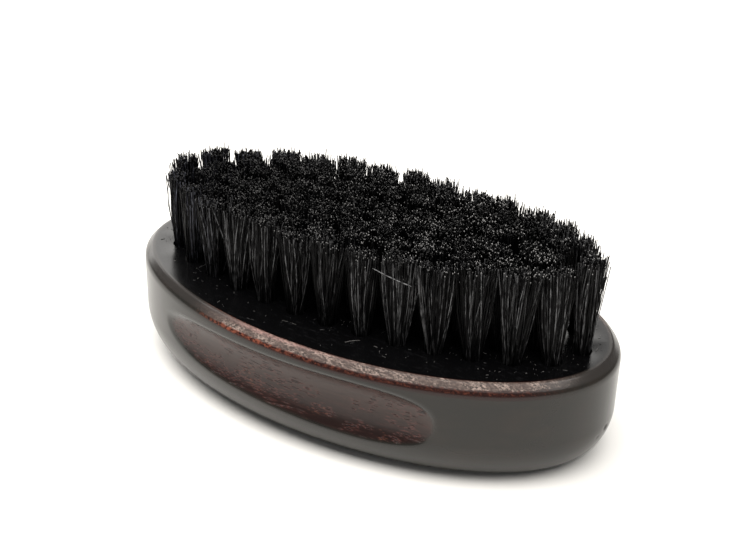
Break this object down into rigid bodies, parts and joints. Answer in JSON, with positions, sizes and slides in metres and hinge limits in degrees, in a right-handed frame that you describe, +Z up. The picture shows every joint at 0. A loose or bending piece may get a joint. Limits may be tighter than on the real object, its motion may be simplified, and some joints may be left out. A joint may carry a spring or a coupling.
{
  "type": "beard brush",
  "caption": "Oval palm brush for beards: a one-piece wood block with a finger scoop on each long side, and stiff bristle tufts set in nested ovals and two middle rows on its flat top face.",
  "frame": {"origin": "on the flat back that the brush rests on, under the middle of the block", "axes": "+X along the brush, +Y across it, +Z up out of the top face, the way the bristles point"},
  "size_m": [0.105, 0.057, 0.0423],
  "materials": {
    "wood": "dark red-brown stain under satin lacquer",
    "bristle": "black boar bristle, softly glossy along each hair",
    "anchor_wire": "bright flat wire"
  },
  "bodies": {
    "root": {"wood_block": "wood", "outer_tuft_01": "bristle", "outer_tuft_02": "bristle", "outer_tuft_03": "bristle", "outer_tuft_04": "bristle", "outer_tuft_05": "bristle", "outer_tuft_06": "bristle", "outer_tuft_07": "bristle", "outer_tuft_08": "bristle", "outer_tuft_09": "bristle", "outer_tuft_10": "bristle", "outer_tuft_11": "bristle", "outer_tuft_12": "bristle", "outer_tuft_13": "bristle", "outer_tuft_14": "bristle", "outer_tuft_15": "bristle", "outer_tuft_16": "bristle", "outer_tuft_17": "bristle", "outer_tuft_18": "bristle", "outer_tuft_19": "bristle", "outer_tuft_20": "bristle", "outer_tuft_21": "bristle", "outer_tuft_22": "bristle", "outer_tuft_23": "bristle", "outer_tuft_24": "bristle", "outer_tuft_25": "bristle", "outer_tuft_26": "bristle", "outer_tuft_27": "bristle", "outer_tuft_28": "bristle", "second_oval_tufts_front": "bristle", "second_oval_tufts_back": "bristle", "core_tufts": "bristle", "outer_anchor_01": "anchor_wire", "outer_anchor_02": "anchor_wire", "outer_anchor_03": "anchor_wire", "outer_anchor_04": "anchor_wire", "outer_anchor_05": "anchor_wire", "outer_anchor_06": "anchor_wire", "outer_anchor_07": "anchor_wire", "outer_anchor_08": "anchor_wire", "outer_anchor_09": "anchor_wire", "outer_anchor_10": "anchor_wire", "outer_anchor_11": "anchor_wire", "outer_anchor_12": "anchor_wire", "outer_anchor_13": "anchor_wire", "outer_anchor_14": "anchor_wire", "outer_anchor_15": "anchor_wire", "outer_anchor_16": "anchor_wire", "outer_anchor_17": "anchor_wire", "outer_anchor_18": "anchor_wire", "outer_anchor_19": "anchor_wire", "outer_anchor_20": "anchor_wire", "outer_anchor_21": "anchor_wire", "outer_anchor_22": "anchor_wire", "outer_anchor_23": "anchor_wire", "outer_anchor_24": "anchor_wire", "outer_anchor_25": "anchor_wire", "outer_anchor_26": "anchor_wire", "outer_anchor_27": "anchor_wire", "outer_anchor_28": "anchor_wire"}
  },
  "joints": []
}
